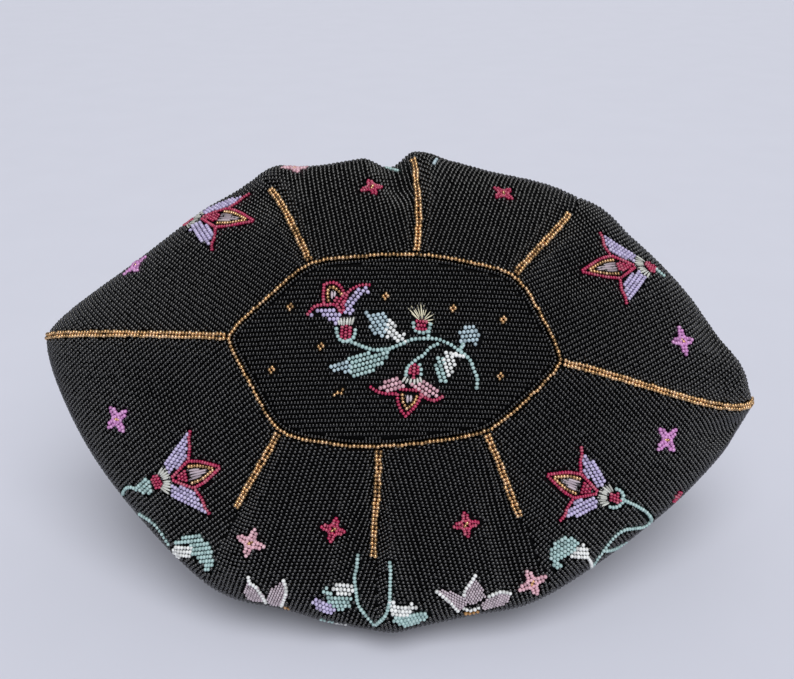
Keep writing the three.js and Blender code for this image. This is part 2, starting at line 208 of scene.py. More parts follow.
def form(t, s):
    """The pouch without its folds: t runs round the rows, s outward from rim over ridge to lip."""
    row = around(t)
    rim = np.concatenate([row[..., RIM], np.zeros_like(row[..., :1])], axis=-1)
    ridge = row[..., RIDGE]
    splay = unit(ridge - SPLAY_FROM)
    lead = (ridge - rim) * WALL_LEAD
    lead[..., 2] = WALL_RISE * ridge[..., 2]
    arrive = ridge - splay * WALL_ARRIVE
    front = place(bezier([rim, rim + lead, arrive, ridge], np.clip(s, 0, 1)[..., None]))

    side = side_of(t)
    neck = np.empty_like(front)
    neck[..., 0] = MOUTH_HALF * (1 - 2 * np.abs(t % TURN - HALF) / HALF)
    neck[..., 1] = NECK_Y
    neck[..., 2] = MOUTH_Z
    run_in = neck.copy()
    run_in[..., 1] -= LOWER_SETTLE + (UPPER_SETTLE - LOWER_SETTLE) * smooth(side, -1, 1)
    onward = place(ridge + splay * row[..., REACH])
    back = bezier([place(ridge), onward, run_in, neck], np.clip(s - 1, 0, 1)[..., None])
    back[..., 1] += (LIP_Y - NECK_Y) * np.clip((s - 2) / (LIP - 2), 0, 1)
    back[..., 2] += HALF_LIPS * np.clip(side / PARTING_ROWS, -1, 1) * smooth(s, 1, PARTING_FULL)
    return np.where((s <= 1)[..., None], front, back)


def rows_apart(t, row):
    return (t - row + HALF) % TURN - HALF


def relief(t, s):
    """Height of the folds, troughs and gathers over the plain form."""
    h = np.zeros_like(t)
    for at, wide, rise, start, end in FOLDS:
        x = np.clip(rows_apart(t, at) / wide, -1, 1)
        run = min(FOLD_RAMP, (end - start) / 2)
        window = smooth(s, start, start + run) * (1 - smooth(s, end - run, end))
        h += rise * (1 - x * x) ** 2 * window
    for _, row, end in SEAMS:
        if row % HALF:
            x = np.clip(np.abs(rows_apart(t, row)) / TROUGH_HALF, 0, 1)
            h -= TROUGH_DEPTH * (1 - x) * (1 - smooth(s, end, end + TROUGH_FADE))
    side = side_of(t)
    deep = np.where(side >= 0, GATHER_UPPER, GATHER_LOWER)
    edge = np.clip(np.abs(side) / GATHER_SIDE_ROWS, 0, 1)
    swell = smooth(s, GATHER_FROM, GATHER_FULL) * (1 - smooth(s, GATHER_EASE, GATHER_TO))
    return h - deep * edge * swell * np.cos(2 * math.pi * t)


def slopes(surface, t, s):
    """How a surface moves with t and with s."""
    s0, s1 = np.maximum(s - STEP, 0), np.minimum(s + STEP, LIP)
    along_t = (surface(t + STEP, s) - surface(t - STEP, s)) / (2 * STEP)
    along_s = (surface(t, s1) - surface(t, s0)) / (s1 - s0)[..., None]
    return along_t, along_s


def outside(t, s):
    """The outside of the beaded pouch, lying on the floor."""
    t, s = np.broadcast_arrays(np.asarray(t, float), np.asarray(s, float))
    run = np.clip(s, 0, 1)
    swayed = t + around(t)[..., SWAY] * 4 * run * (1 - run)
    normal = unit(np.cross(*slopes(form, swayed, s)))
    p = form(swayed, s) + normal * relief(t, s)[..., None]
    z = p[..., 2]
    seated = (np.clip(z, -REST_BLEND, REST_BLEND) + REST_BLEND) ** 2 / (4 * REST_BLEND)
    p[..., 2] = np.where(z >= REST_BLEND, z, seated)
    return p


def outward(t, s):
    t, s = np.broadcast_arrays(np.asarray(t, float), np.asarray(s, float))
    return unit(np.cross(*slopes(outside, t, s)))


def rim_points(per_row=40):
    """Points round the base's rim, across and up in millimetres."""
    return around(np.linspace(0, TURN, per_row * TURN, endpoint=False))[:, RIM]


def on_base(u, v):
    """Points of the domed base and their outward directions, from across and up in millimetres."""
    bearing = np.arctan2(v, u)
    turn = np.linspace(0, TURN, 20 * TURN + 1)
    rim = around(turn)[:, RIM]
    order = np.argsort(np.arctan2(rim[:, 1], rim[:, 0]))
    angles = np.arctan2(rim[order, 1], rim[order, 0])
    edge = np.interp(bearing, angles, np.hypot(*rim[order].T), period=2 * math.pi)
    share = np.hypot(u, v) / edge
    p = place(np.stack([u, v, -BASE_DOME * (1 - share**2)], axis=-1))
    lean = np.stack([u, v, np.zeros_like(u)], axis=-1) * (2 * BASE_DOME / edge**2)[..., None]
    out = unit(lean[..., :1] * ACROSS + lean[..., 1:2] * UP - BEHIND)
    return p, out, share


# Beads


class Beads(NamedTuple):
    """Bead centres in millimetres, thread and outward directions, and stretch along the thread."""

    centre: np.ndarray
    thread: np.ndarray
    out: np.ndarray
    stretch: np.ndarray

    def only(self, keep):
        return Beads(*(part[keep] for part in self))

    def __add__(self, other):
        return Beads(*(np.concatenate(pair) for pair in zip(self, other)))


def running(steps):
    """Steps added up, from nothing."""
    return np.concatenate([[0], np.cumsum(steps)])


def lengths_along(path):
    """Distance of each point along a path from its first."""
    return running(np.linalg.norm(np.diff(path, axis=0), axis=1))


def clear_of(beads, others, distance):
    """Which beads lie at least a distance from all the others."""
    tree = KDTree(len(others.centre))
    for i, p in enumerate(others.centre):
        tree.insert(p, i)
    tree.balance()
    return np.array([tree.find(p)[2] >= distance for p in beads.centre])


def stretched(gore, s):
    """How many times as far apart as on the base the beads of a gore are, at runs s."""
    near, far = STRETCHED[gore]
    return near + (far - near) * smooth(s, *STRETCH_GROWS) + (1 - far) * smooth(s, *STRETCH_ENDS)


def rows_of_gore(gore, sizes):
    """One gore's black beads, in leaning rows set half a bead apart from row to row."""
    columns, runs = 80, 320
    t = gore + np.linspace(-1, 1, columns + 1)
    s = np.linspace(0, ROWS_END, runs + 1)
    grid = outside(t[None, :], s[:, None])
    step = np.linalg.norm(np.diff(grid, axis=1), axis=2)
    arc = np.concatenate([np.zeros((runs + 1, 1)), np.cumsum(step, axis=1)], axis=1)
    arc -= arc[:, columns // 2, None]
    middle = lengths_along(grid[:, columns // 2])
    middle -= np.interp(LEAN_FROM, s, middle)
    lean = math.radians(LEANS[gore])
    drift = np.minimum(middle, np.interp(LEAN_TO, s, middle)) * math.tan(lean)
    pitch, row_pitch = sizes.bead_pitch / MM, sizes.row_pitch / MM
    longer = stretched(gore, (s[1:] + s[:-1]) / 2)
    rng = np.random.default_rng(SEED + gore)
    found_t, found_s = [], []
    most = int((np.abs(arc).max() + np.abs(drift).max()) / row_pitch)
    for k in range(-most, most + 1):
        q = k * row_pitch / math.cos(lean) + drift
        within = (arc[:, 0] < q) & (q < arc[:, -1])
        if not within.any():
            continue
        row_t = np.array([np.interp(x, a, t) for x, a in zip(q, arc)])
        path = np.array([[np.interp(x, t, c) for c in g.T] for x, g in zip(row_t, grid)])
        along = running(np.diff(lengths_along(path)) / longer)
        along -= np.interp(-k * row_pitch * math.sin(lean), middle, along)
        first, last = int(along[0] / pitch) - 1, int(along[-1] / pitch) + 1
        beads = (np.arange(first, last) + k % 2 / 2) * pitch
        beads += rng.normal(0, ROW_JITTER, len(beads)) * pitch
        keep = np.interp(beads, along, within.astype(float), left=0, right=0) > 0.5
        found_t.append(np.interp(beads, along, row_t)[keep])
        found_s.append(np.interp(beads, along, s)[keep])
    t, s = np.concatenate(found_t), np.concatenate(found_s)
    out = outward(t, s)
    centre = outside(t, s) - out * (sizes.bead_width / MM / 2)
    thread = unit(outside(t, s + THREAD_STEP) - outside(t, np.maximum(s - THREAD_STEP, 0)))
    return Beads(centre, thread, out, 1 + BLACK_SHARE * (stretched(gore, s) - 1)), s


def rows_of_base(sizes):
    """The base's black beads: a row round its rim, and level rows across the rest."""
    pitch, row_pitch = sizes.bead_pitch / MM, sizes.row_pitch / MM
    sink = sizes.bead_width / MM / 2
    rng = np.random.default_rng(SEED)
    rim = rim_points()
    ahead = unit(np.roll(rim, -1, axis=0) - np.roll(rim, 1, axis=0))
    inward = np.stack([ahead[:, 1], -ahead[:, 0]], axis=1)
    path, out, _ = on_base(*(rim + inward * row_pitch).T)
    edge = along_path(path - out * sink, out, pitch, closed=True)
    half_rows, half_beads = int(BASE_ROWS_HALF / row_pitch), int(BASE_BEADS_HALF / pitch)
    rows = np.arange(-half_rows, half_rows + 1)[:, None]
    x = (np.arange(-half_beads, half_beads + 1)[None, :] + rows % 2 / 2) * pitch
    x = x + rng.normal(0, ROW_JITTER, x.shape) * pitch
    y = rows * row_pitch - BASE_ARCH * x**2
    c, n = math.cos(BASE_SLANT), math.sin(BASE_SLANT)
    u, v = (x * c - y * n).ravel(), (x * n + y * c).ravel()
    centre, out, share = on_base(u, v)
    thread = np.broadcast_to(ACROSS * c + UP * n, centre.shape)
    level = Beads(centre - out * sink, thread, out, np.ones(len(u))).only(share < BASE_SHARE)
    return edge + level.only(clear_of(level, edge, row_pitch * RIM_ROOM))


def along_path(path, out, pitch, closed=False, longer=1.0):
    """Beads strung along a path of points, as many times longer as is said for each point."""
    if closed:
        path, out = np.concatenate([path, path[:1]]), np.concatenate([out, out[:1]])
    longer = np.broadcast_to(longer, len(path))
    length = running(np.diff(lengths_along(path)) / longer[1:])
    count = max(int(round(length[-1] / pitch)), 1)
    at = (np.arange(count) + 0.5) * length[-1] / count
    centre, ahead, back, facing = (
        np.stack([np.interp(x, length, part[:, c]) for c in range(3)], axis=1)
        for x, part in ((at, path), (at + pitch / 2, path), (at - pitch / 2, path), (at, out))
    )
    return Beads(centre, unit(ahead - back), unit(facing), np.interp(at, length, longer))


def unevenly(beads, far, seed):
    """The beads, each pushed a little to one side of its thread, as hand-laid beads are."""
    sideways = np.cross(beads.thread, beads.out)
    push = np.random.default_rng(seed).normal(0, far, (len(sideways), 1))
    return beads._replace(centre=beads.centre + sideways * np.clip(push, -2 * far, 2 * far))


def gold_outline(sizes):
    """The single gold row round the base."""
    rim = rim_points()
    sink = sizes.gold_bead / MM / 4
    path = place(np.concatenate([rim, np.full((len(rim), 1), sink)], axis=1))
    out = np.broadcast_to(-BEHIND, path.shape)
    return unevenly(along_path(path, out, sizes.gold_pitch / MM, closed=True), GOLD_UNEVEN, SEED)


def gold_seam(row, end, sizes):
    """The double gold row on a seam or dart."""
    bead = sizes.gold_bead / MM
    samples = 400
    run = np.linspace(0.0, end, samples)
    out = outward(float(row), run)
    middle = outside(float(row), run)
    lift = (TROUGH_DEPTH - DART_SEAT if row % HALF else -SIDE_SEAT) + BAND_RISE / 2
    ahead = unit(np.gradient(middle, axis=0))
    sideways = unit(np.cross(out, ahead))
    start = np.linalg.norm(middle - middle[0], axis=1) > bead * GOLD_START
    longer = (stretched((row - 1) % TURN, run) + stretched((row + 1) % TURN, run)) / 2
    longer = 1 + GOLD_SHARE * (longer[start] - 1)
    lines = [
        along_path((middle + out * lift + sideways * side * bead * GOLD_ASIDE)[start], out[start],
                   sizes.gold_pitch / MM, longer=longer)
        for side in (-1, 1)
    ]
    return unevenly(lines[0] + lines[1], GOLD_UNEVEN, SEED + row)


def gold_lines(sizes):
    """The beads of every gold row, by the node that they replace."""
    seams = {node: gold_seam(row, end, sizes) for node, row, end in SEAMS}
    return {"base_outline": gold_outline(sizes), **seams}


# Worked flowers, drawn in millimetres on a flat patch and laid on the purse. The spray, the edge leaves
# and the lotuses follow points picked on the photo, laid back on the purse and rounded.

# Pitch along the thread and diameter of each colour's beads
KINDS = {
    **dict.fromkeys(("mint", "sky", "white", "lavender", "pink"), (1.06, 1.2)),
    "orchid": (1.1, 1.25),
    "crimson": (0.85, 1.08),
    "gilt": (0.95, 1.12),
    "amber": (1.0, 1.15),
    "lilac": (0.85, 0.72),
    "silver": (1.0, 0.7),
    "cream": (1.0, 0.32),
}
MOTIF_SINK = 0.42  # bead centres below the surface of the black beads
MOTIF_ROOM = 0.92  # between the middles of flower beads and black ones
SEAM_ROOM = 0.82  # between the beads of neighbouring gores
FILL_OVER = 0.35  # how far a bead's centre may lie outside the outline that it fills
FILL_CLOSE = 0.97  # from row to row in a filled outline, in beads
FLOWER_FIT = 0.98  # length of a bead, as a share of its pitch
HEADING_STEP = 0.3  # how far ahead of a bead its direction is taken
TULIP_HALF = 11.6  # from a tulip's middle to the tips of its outer petals
WALK_WITHIN = (0.02, 1.9)  # runs that a flower can't leave


class Stroke(NamedTuple):
    """Beads of one colour on a flat patch: places, headings and stretch."""

    colour: str
    at: np.ndarray
    heading: np.ndarray
    stretch: np.ndarray


def laid(colour, spots, way):
    """Beads at spots of a flat patch, all heading one way."""
    return Stroke(colour, spots, np.tile(way, (len(spots), 1)), np.ones(len(spots)))


def string(colour, *points):
    """Beads along a smooth curve through points."""
    p = np.array(points, float)
    ends = np.concatenate([[2 * p[0] - p[1]], p, [2 * p[-1] - p[-2]]])
    steps, near = 12, 0.2
    f = np.linspace(0, 1, steps, endpoint=False)[:, None]
    runs = [
        b + f / 2 * (c - a + f * (2 * a - 5 * b + 4 * c - d + f * (3 * b - a - 3 * c + d)))
        for a, b, c, d in zip(ends, ends[1:], ends[2:], ends[3:])
    ]
    path = np.concatenate([*runs, p[-1:]])
    length = lengths_along(path)
    count = max(int(round(length[-1] / KINDS[colour][0])), 1) + 1
    at = np.linspace(0, length[-1], count)
    spots, ahead, back = (
        np.stack([np.interp(at + x, length, path[:, c]) for c in (0, 1)], axis=1)
        for x in (0, near, -near)
    )
    return Stroke(colour, spots, unit(ahead - back), np.ones(count))


def rows(colour, lean, *outline):
    """Staggered rows of beads that fill an outline, leaning by an angle in degrees."""
    p = np.array(outline, float)
    pitch, width = KINDS[colour]
    middle, reach = p.mean(axis=0), np.linalg.norm(p - p.mean(axis=0), axis=1).max()
    c, n = math.cos(math.radians(lean)), math.sin(math.radians(lean))
    k = np.arange(-int(reach / width) - 1, int(reach / width) + 2)[:, None]
    i = np.arange(-int(reach / pitch) - 1, int(reach / pitch) + 2)[None, :]
    x, y = np.broadcast_arrays((i + k % 2 / 2) * pitch, k * width * FILL_CLOSE)
    spots = middle + np.stack([x * c - y * n, x * n + y * c], axis=-1).reshape(-1, 2)
    inside = np.zeros(len(spots), bool)
    px, py = (spots + FILL_OVER * unit(middle - spots + 1e-6)).T
    for (ax, ay), (bx, by) in zip(p, np.roll(p, -1, axis=0)):
        rise = by - ay if by != ay else 1.0
        inside ^= ((ay > py) != (by > py)) & (px < ax + (bx - ax) * (py - ay) / rise)
    return laid(colour, spots[inside], [c, n])


def bugles(colour, *ends):
    """Long beads, each from one end to the other."""
    p = np.array(ends, float)
    way = p[:, 1] - p[:, 0]
    return Stroke(colour, p.mean(axis=1), unit(way), np.linalg.norm(way, axis=1) / KINDS[colour][0])


def dots(colour, *points):
    return laid(colour, np.array(points, float), [1.0, 0.0])


def mirrored(stroke):
    flip = np.array([-1, 1])
    return stroke._replace(at=stroke.at * flip, heading=stroke.heading * flip)


def tulip(tall, wide=1.0, swept=0.0):
    """A gore's tulip, its calyx at the origin and its tip up, its outer petals swept back."""
    def up(*points):
        return [(x * wide, y * tall - swept * (x / TULIP_HALF) ** 2) for x, y in points]

    half = (
        string("crimson", *up((0.5, 5.4), (2.2, 8), (3.6, 10.3))),
        string("crimson", *up((3.7, 11), (2.8, 14.2), (0.3, 18.6))),
        string("crimson", *up((4.5, 10.9), (7.4, 11.8), (9.6, 11.9), (11.6, 12.6))),
        rows("lavender", 52, *up((1.7, 4.6), (3.3, 8), (4.7, 10), (7.4, 11.1), (9.6, 11.2), (11, 11.8),
                                 (10.3, 10.5), (8.4, 8.8), (6.4, 6.4), (5, 4), (3.2, 4))),
        string("gilt", *up((2.3, 10.6), (1.9, 13.4), (0.3, 16.8))),
        bugles("silver", up((0.35, 1.9), (0.6, 4.9)), up((0.75, 1.8), (1.4, 4.8)), up((1.1, 1.6), (2.3, 4.5)),
               up((1.4, 1.3), (3.2, 4)), up((1.6, 0.9), (4, 3.3))),
        bugles("lilac", up((0.42, 10), (0.3, 15.4)), up((1.25, 10), (0.95, 13.6))),
    )
    return (
        *half,
        *(mirrored(stroke) for stroke in half),
        rows("crimson", 20, *up((-1.5, -0.6), (-1.2, 1.1), (0, 1.6), (1.2, 1.1), (1.5, -0.6), (0, -1.5))),
        rows("crimson", 0, *up((-1.3, 9.5), (1.3, 9.5), (0.8, 6.8), (-0.8, 6.8))),
    )


def star(colour):
    """A flower of four petals round two gilt beads."""
    pitch, width = KINDS[colour]
    reach = np.linspace(1.05, 3.05 * pitch + 0.6, 4)
    petal = [(reach[0] * 0.9, 0), (reach[-1], 0.2)]
    petal += [(x, y) for x in reach[1:-1] for y in (-width * 0.48, width * 0.48)]
    petal += [(reach[0] + 0.1, y) for y in (-width * 0.7, width * 0.7)]
    along, aside = np.array(petal).T
    made = [dots("gilt", (0, 0.4), (0.1, -0.5))]
    for lean in np.radians((45, 135, 225, 315)):
        way = np.array([math.cos(lean), math.sin(lean)])
        spots = np.outer(along, way) + np.outer(aside, way[::-1] * (-1, 1))
        made.append(laid(colour, spots, way))
    return tuple(made)


def gold_spot(x, y):
    return dots("gilt", (x - 0.62, y), (x + 0.62, y + 0.1), (x + 0.1, y + 0.72), (x - 0.1, y - 0.7))


CROSSED_STEMS = (
    string("mint", (-12.5, 1.4), (-10.5, 0.8), (-8, 0), (-5.5, -0.5), (-3, -0.2), (-1.5, 0)),
    string("mint", (-2, -1), (-1.5, 0), (1.5, 1.5), (2.5, 2), (4.5, 3), (8.5, 3.5), (11, 3.5), (12.5, 3),
           (14.5, 2.3), (16.5, 1), (18.5, -0.2), (20, -1.7), (21, -4), (22, -6), (22, -8.5)),
    string("mint", (11, 2.2), (9, 1), (7.5, -1), (6, -2), (4.7, -3.3)),
    string("mint", (17.7, 2.6), (17, 1)),
    string("mint", (8.5, 5.3), (8.5, 4.2)),
)
BASE_LEAVES = (
    rows("sky", -52, (-8.7, 9.2), (-6.5, 9.2), (-5.5, 8.2), (-4.5, 9.7), (-3, 8.8), (-2.3, 7.5), (-3, 3.2),
         (-4, 3.2), (-5.7, 4.3), (-7.2, 6.5)),
    rows("white", -40, (-2.2, 7.6), (-0.3, 6.7), (0.2, 5), (1.7, 4.2), (2.8, 2.6), (1.5, 2.2), (-0.5, 2.6),
         (-2.6, 3.2)),
    rows("sky", 20, (-16.3, -5.4), (-13.5, -4.3), (-12, -3.2), (-11.3, -7.5), (-12.5, -7.3), (-13.5, -6.2),
         (-15.5, -7.2)),
    rows("mint", 20, (-11.8, -3.2), (-9, -2.2), (-6.5, -1.7), (-3.5, -1.2), (-1.3, -0.3), (-1.8, -2),
         (-3.3, -3.5), (-4.3, -5), (-6.3, -6.2), (-8, -7.3), (-11.1, -7.7)),
    rows("mint", -68, (13, -0.7), (11.3, -1.8), (10.7, -4), (11.8, -6.6), (13.9, -8.3), (14.2, -6.2),
         (13, -3.5)),
    rows("white", -68, (13, -0.7), (14, 0.3), (16, -0.2), (15.9, -2), (15.6, -4), (14.7, -6.4), (14.2, -6.2),
         (13, -3.5)),
    string("white", (15.2, -0.3), (16.5, -0.4), (18, -0.5)),
    rows("sky", 10, (18, 2.6), (17.1, 3.9), (17, 5.8), (18, 7.2), (19.6, 7.7), (21.2, 7.1), (22, 5.6),
         (21.8, 3.8), (20.8, 2.9), (19.5, 3.4)),
)
BASE_TULIP = (
    string("crimson", (-23.7, 7.8), (-22, 10), (-19.5, 10.7)),
    string("crimson", (-19.7, 11.2), (-20, 13), (-20, 16)),
    string("crimson", (-19.3, 16.4), (-18, 16.8), (-16.5, 16.5), (-15.3, 15.4), (-14.5, 14)),
    string("crimson", (-13.8, 13.6), (-13, 15), (-10.5, 16.5), (-8, 16.8)),
    string("crimson", (-18.7, 10.6), (-17.5, 10.9), (-16, 10.4), (-14.9, 8.7)),
    string("crimson", (-14, 12.8), (-14.4, 11), (-14.3, 9.4)),
    string("gilt", (-18.5, 11.8), (-18.9, 13.5), (-18.7, 15.2), (-17.5, 15.5), (-16.2, 14.7), (-15.2, 13.8)),
    bugles("lilac", ((-17.8, 14.6), (-17.6, 12.2)), ((-17, 14.6), (-17, 12.8))),
    rows("crimson", 60, (-16.7, 13), (-15, 13), (-14.5, 10.2), (-16.5, 10.9)),
    rows("lavender", 5, (-23, 7.4), (-21.2, 9.4), (-18.5, 9.9), (-16.7, 9.6), (-15.2, 8.2), (-15.4, 5.6),
         (-17, 6), (-18.8, 7.5), (-20, 8.2)),
    rows("lavender", 55, (-8.2, 15.9), (-10.5, 15.6), (-12.2, 14.5), (-13.4, 12.6), (-13.9, 10.5), (-14.2, 9),
         (-12, 8), (-11.6, 10.5), (-11, 12.5), (-9.8, 13.7), (-8.2, 14.2)),
    bugles("silver", ((-15.7, 7.4), (-15, 5.3)), ((-14.9, 7.6), (-14.4, 5.2)), ((-14, 7.7), (-13.9, 5.2)),
           ((-13.1, 7.7), (-13.2, 5.3)), ((-12.3, 7.8), (-12.5, 5.4)), ((-11.4, 8), (-11.9, 5.6))),
    rows("crimson", 90, (-14.8, 4.9), (-12, 5.1), (-11.9, 2.4), (-14.3, 2.1)),
    string("mint", (-15.8, 4.4), (-15.4, 2.7), (-14.2, 1.3), (-12.4, 1.4), (-11, 2.6), (-10.8, 4.4)),
)
PINK_TULIP = (
    string("mint", (4, -4), (3.4, -5), (3.3, -6.5)),
    string("mint", (6.7, -3.6), (7.2, -5), (7.2, -6)),
    rows("crimson", 90, (4.3, -3.8), (6.3, -3.8), (6.1, -7), (4.6, -7)),
    bugles("silver", ((3.5, -6.6), (2.3, -8.6)), ((4.1, -7), (3.3, -8.9)), ((4.8, -7.2), (4.4, -9)),
           ((5.6, -7.2), (5.6, -9)), ((6.3, -7), (6.7, -8.8)), ((6.9, -6.6), (7.6, -8.4))),
    rows("pink", 20, (-4, -10.2), (-2, -8.8), (0, -8), (1.4, -7.6), (3.2, -9), (2, -10.4), (-1.5, -11)),
    rows("pink", -30, (5.3, -9), (8, -7.7), (9.4, -8.8), (10.7, -9.2), (12.4, -10.6), (10.5, -11.6), (8, -11),
         (6.5, -10)),
    string("crimson", (-5.7, -10.3), (-3.7, -11.4), (-1.5, -11.7), (1, -11.6)),
    string("crimson", (8, -11.7), (10, -12.5), (11.5, -12.5), (13.2, -11.5)),
    string("crimson", (1.5, -11.8), (1.6, -13.3), (2.5, -15.5), (4, -17.2)),
    string("crimson", (4.6, -16.4), (6, -14.9), (7.2, -12.8), (7.6, -11.3)),
    rows("crimson", 0, (2, -9.6), (7, -9.6), (7.4, -11), (1.8, -11)),
    string("gilt", (2.7, -11.7), (3, -13.5), (4.1, -15.2)),
    string("gilt", (4.8, -14.7), (6, -13.4), (6.5, -11.9)),
    bugles("lilac", ((4.1, -11.6), (4.2, -13.8)), ((5, -11.6), (5, -13.4))),
)
THISTLE = (
    bugles("cream", ((6, 8), (2.4, 11.5)), ((6.1, 8.2), (3.2, 12.2)), ((6.3, 8.3), (4.2, 11.6)),
           ((6.4, 8.3), (5, 12.3)), ((6.5, 8.4), (5.9, 13)), ((6.6, 8.4), (6.8, 12.6)),
           ((6.7, 8.3), (7.6, 11.7)), ((6.8, 8.2), (8.8, 11)), ((6.9, 8.2), (9.7, 10.2)),
           ((7, 8), (10.1, 8.8)), ((7, 7.9), (9.6, 7.6)), ((6, 8.1), (3.5, 10))),
    rows("crimson", 0, (5.3, 7.8), (7.6, 7.8), (7.6, 5.9), (5.3, 5.9)),
    string("mint", (4.3, 7.3), (4.7, 5.6), (6, 5), (7.6, 5), (8.6, 6.1), (8.8, 7.3)),
)
BASE_SPOTS = (
    *(gold_spot(x, y) for x, y in ((-28.5, 9.5), (-19.5, -0.5), (-32, -7.5), (-3.5, 14), (14.5, 12), (28, 10),
                                   (28, -5))),
    dots("gilt", (-15, -13), (-14.2, -12.3), (-13.2, -12.4), (-12.9, -11.4)),
)
SPRAY = CROSSED_STEMS + BASE_LEAVES + BASE_TULIP + PINK_TULIP + THISTLE + BASE_SPOTS

LEFT_EDGE = (
    rows("mint", 40, (-17.7, 16), (-14.4, 18.8), (-13, 18.2), (-12.8, 15), (-16.5, 14.2)),
    string("mint", (-18, 15), (-20, 15.4), (-22.5, 14.5), (-25, 12)),
    string("mint", (-19, 7), (-15.5, 6.5), (-13, 5.5), (-11, 3.5), (-9, 0)),
    rows("mint", 10, (-6, 1), (-2, 3.7), (2, 3.7), (4.7, 1), (6.2, -1), (5.8, -3.6), (4.5, -6), (3.3, -5.6),
         (2.4, -3.4), (0.2, -1.8), (-0.5, -1), (-1, 0.7)),
    rows("white", 5, (-7.5, -1), (-4, 0.7), (-1, 0.4), (-1.2, -2.4), (-8, -4)),
)
RIGHT_EDGE = (
    string("mint", (17, 11.4), (19.5, 10), (22, 8.5), (26, 5.5), (29, 1.5), (27, 0.2), (23.5, 1), (18.5, 1.8),
           (14.5, 0), (12, -2.7), (10, -6), (10, -10)),
    string("mint", (13, -3.7), (18, -5.2), (22, -4.6)),
    rows("mint", 25, (-3.5, -5.7), (-5.3, -2), (-5.3, 1), (-4.2, 3.2), (-2, 4.3), (0, 3.3), (1.7, 2.7),
         (3.4, 1.4), (1.2, 0.2), (-1.5, -1.9), (-2.6, -2.6), (-2.3, -5.2)),
    rows("white", -15, (0.2, -1.4), (1.4, 0), (3.6, 0.9), (5.4, -0.6), (6.2, -2.6), (4.8, -3.6), (1.6, -2.6)),
    string("white", (5.8, -3.4), (7.4, -5.6), (9.4, -9)),
)
BOTTOM_EDGE = (
    string("mint", (-5.5, 9), (-5.6, 5.5), (-6, 3), (-5.5, -1), (-5, -5), (-3.5, -7.5), (-1, -10.5)),
    string("mint", (4, 9), (4.5, 6.5), (4.6, 3.5), (4.6, 0.5), (4.4, -2.5), (3, -6.5), (-0.2, -10.2)),
    rows("white", -12, (-11.7, 1.2), (-9.5, 1.3), (-6, 0.4), (-5.8, -0.7), (-7, -2.6), (-10.5, -1.7)),
    rows("mint", -12, (-13.7, 1.4), (-12, -0.4), (-11.5, -1.9), (-7, -2.7), (-6.9, -4.6), (-9.5, -7.6),
         (-13, -2.7), (-14.3, -0.5)),
    rows("lavender", -20, (-18, -3.2), (-16, -2.8), (-12.5, -3.8), (-11.2, -6.8), (-12.2, -7.2),
         (-16.5, -5.4)),
    rows("white", -12, (4.8, -1.2), (6, -1.7), (7.5, -3.2), (10.5, -2.8), (12.2, -4.3), (9.5, -6.1),
         (5.4, -5.3)),
    rows("mint", -2, (5.4, -6.6), (8, -6.3), (12.5, -6.9), (14.5, -6.6), (16.2, -8.4), (13, -10.6),
         (7, -9.7)),
    string("mint", (-15.5, -11.5), (-14, -11.5), (-12.6, -12)),
    string("white", (-11.5, -12.2), (-10.5, -13), (-9.2, -13.6)),
)
RIGHT_LOTUS = (
    rows("lilac", -35, (-9, 2.7), (-8, 2.8), (-5, 2.2), (-2.4, 0.2), (-1.4, -2), (-3.4, -4), (-6, -0.6)),
    rows("lilac", 65, (1, 6), (2.1, 4), (3.6, 0), (1.5, -1.8), (-1, -1.8), (-2, 1.5), (-0.6, 4)),
    rows("lilac", 15, (3, -2.2), (5, -0.7), (8, 0.3), (10.5, -0.2), (10.5, -1.7), (8.5, -3.7), (4, -5.5)),
    string("white", (-9.3, 2.7), (-7.5, 1), (-5.7, -0.9), (-4.7, -2.5), (-3.6, -4.2)),
    string("white", (1.1, 6.3), (0, 4.6), (-0.8, 3.5), (-1.7, 2.4), (-2, 1)),
    string("white", (4.8, -0.2), (6.4, 0.5), (8.2, 0.9), (10.8, -0.2)),
    string("white", (-2, -3.6), (-0.6, -4.6), (0.8, -4.8), (2, -4)),
    string("amber", (-1.2, -6.2), (0.4, -6.6), (2, -6.2)),
)
LEFT_LOTUS = (
    rows("lilac", -50, (-4.5, 4.5), (-4.3, 2.6), (-2.5, 1), (-1, -1.5), (-0.8, -4), (-4, -4.5), (-5.7, -3.5),
         (-5.7, 1)),
    rows("lilac", 70, (4.5, 4), (5, 2.5), (5.5, 0.5), (4, -5), (0.6, -6), (0, -3), (2, 1.5)),
    string("white", (-4.6, 4.6), (-4.3, 2.7), (-3, 1.7), (-2.3, 0.4), (-1.6, -1), (-1, -2.6), (-0.6, -4.4)),
    string("white", (4.7, 4), (5.3, 2), (5.3, 0.4), (4.7, -2), (3.7, -5)),
    string("amber", (4.6, -6), (5.5, -6.2)),
)
CALYX_RING = (
    string("mint", (-2.6, 0.6), (-2.4, -1), (-1.3, -2.4), (0, -2.8), (1.3, -2.4), (2.4, -1), (2.6, 0.6)),
)

